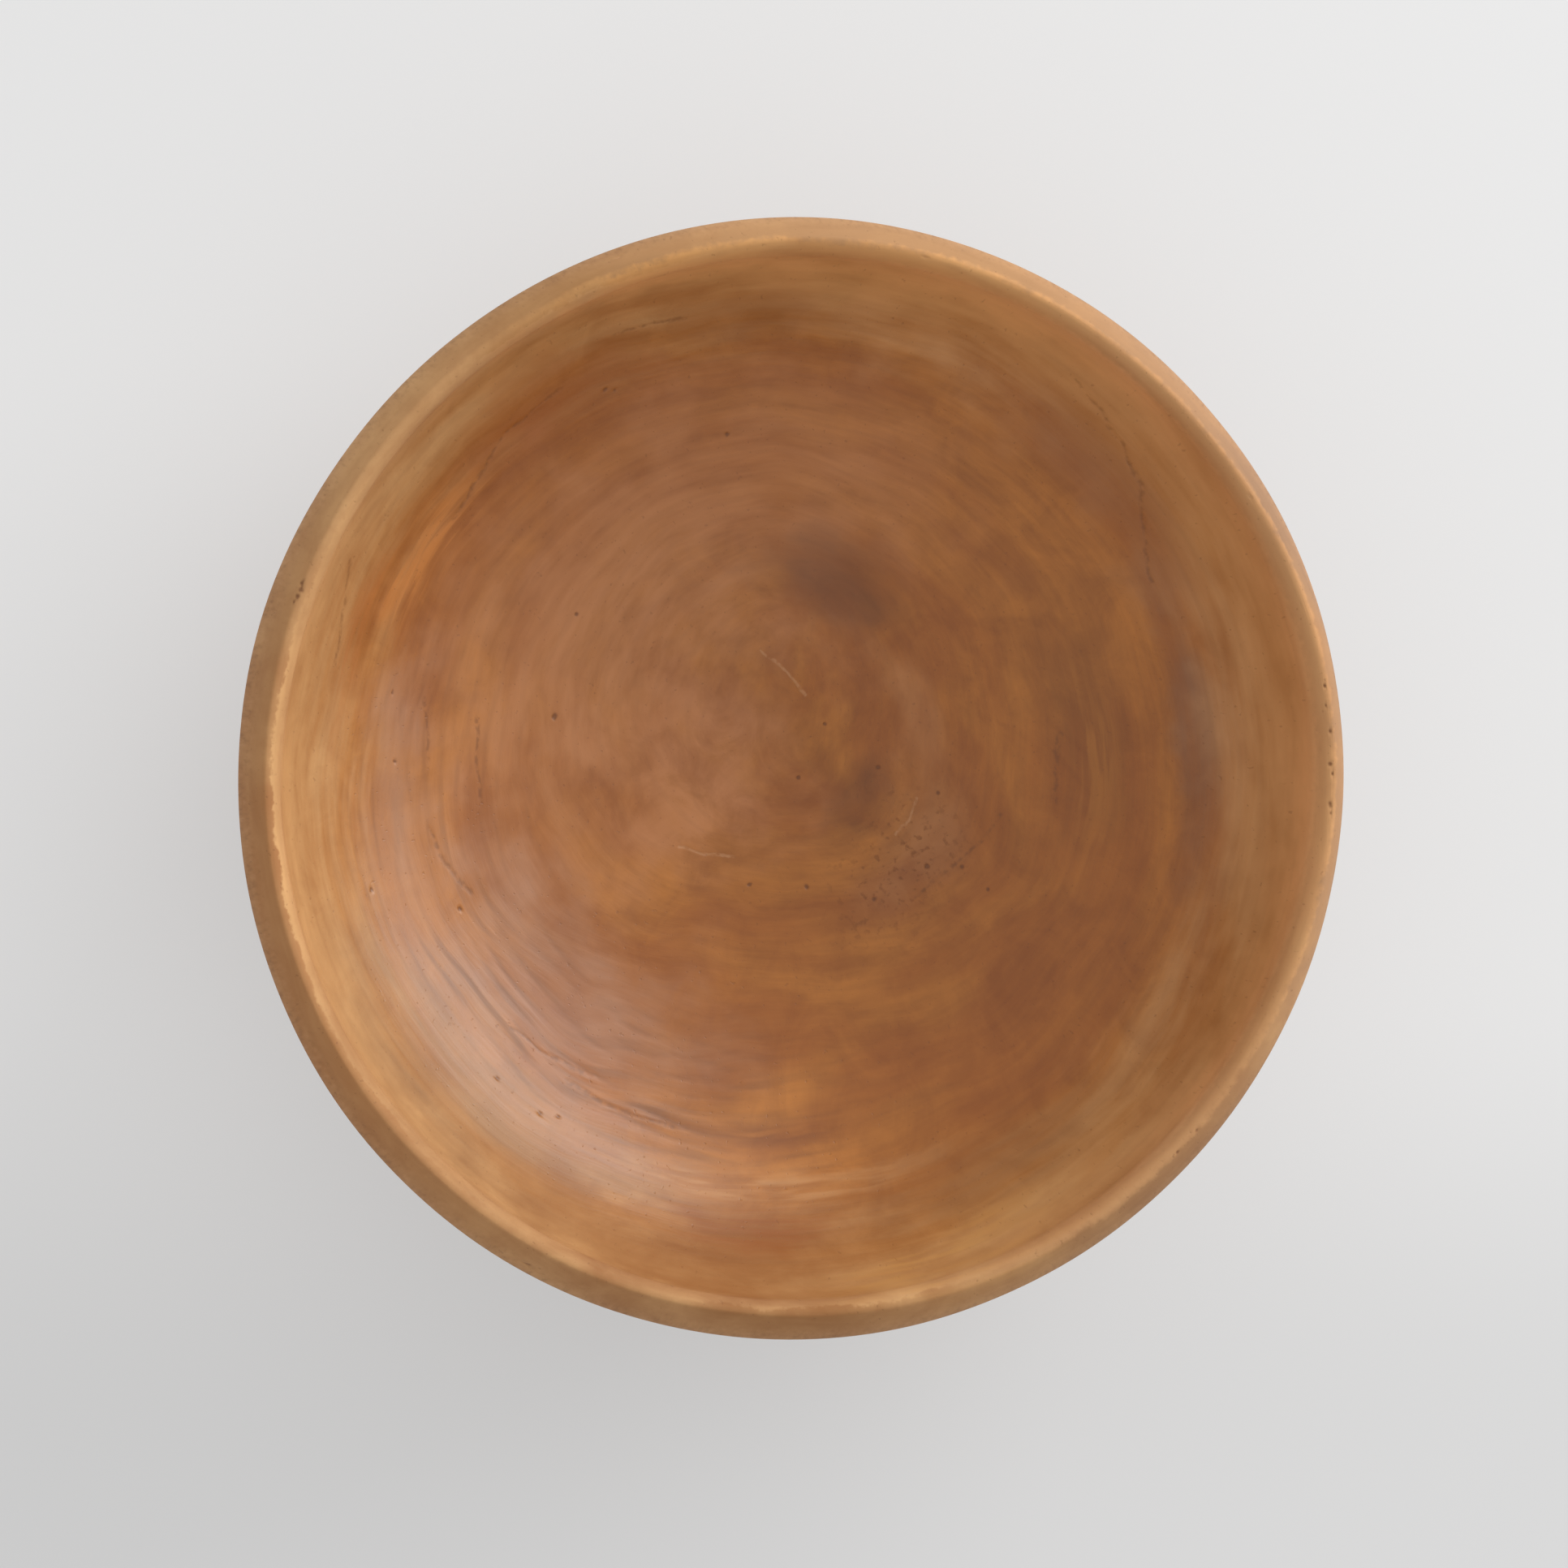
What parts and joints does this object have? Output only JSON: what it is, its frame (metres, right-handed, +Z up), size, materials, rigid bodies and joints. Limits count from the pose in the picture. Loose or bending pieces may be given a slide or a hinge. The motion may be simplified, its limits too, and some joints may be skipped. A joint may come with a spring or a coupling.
{
  "type": "decorative bowl",
  "caption": "Wide turned bowl of oiled brown wood with a rounded, inward-leaning rim, a dished hollow and a low turned foot on glued felt pads.",
  "frame": {"origin": "on the table plane, under the middle of the bowl's bounding box, which is the middle of the turned foot", "axes": "+Z up out of the mouth, along the turning axis; +Y along the longer diameter of the slightly oval bowl; +X along the shorter one"},
  "size_m": [0.2986, 0.3014, 0.095],
  "materials": {
    "oiled_wood": "satin oil",
    "felt": "pressed wool felt"
  },
  "bodies": {
    "root": {"bowl_body": "oiled_wood", "felt_pad_1": "felt", "felt_pad_2": "felt", "felt_pad_3": "felt", "felt_pad_4": "felt"}
  },
  "joints": []
}
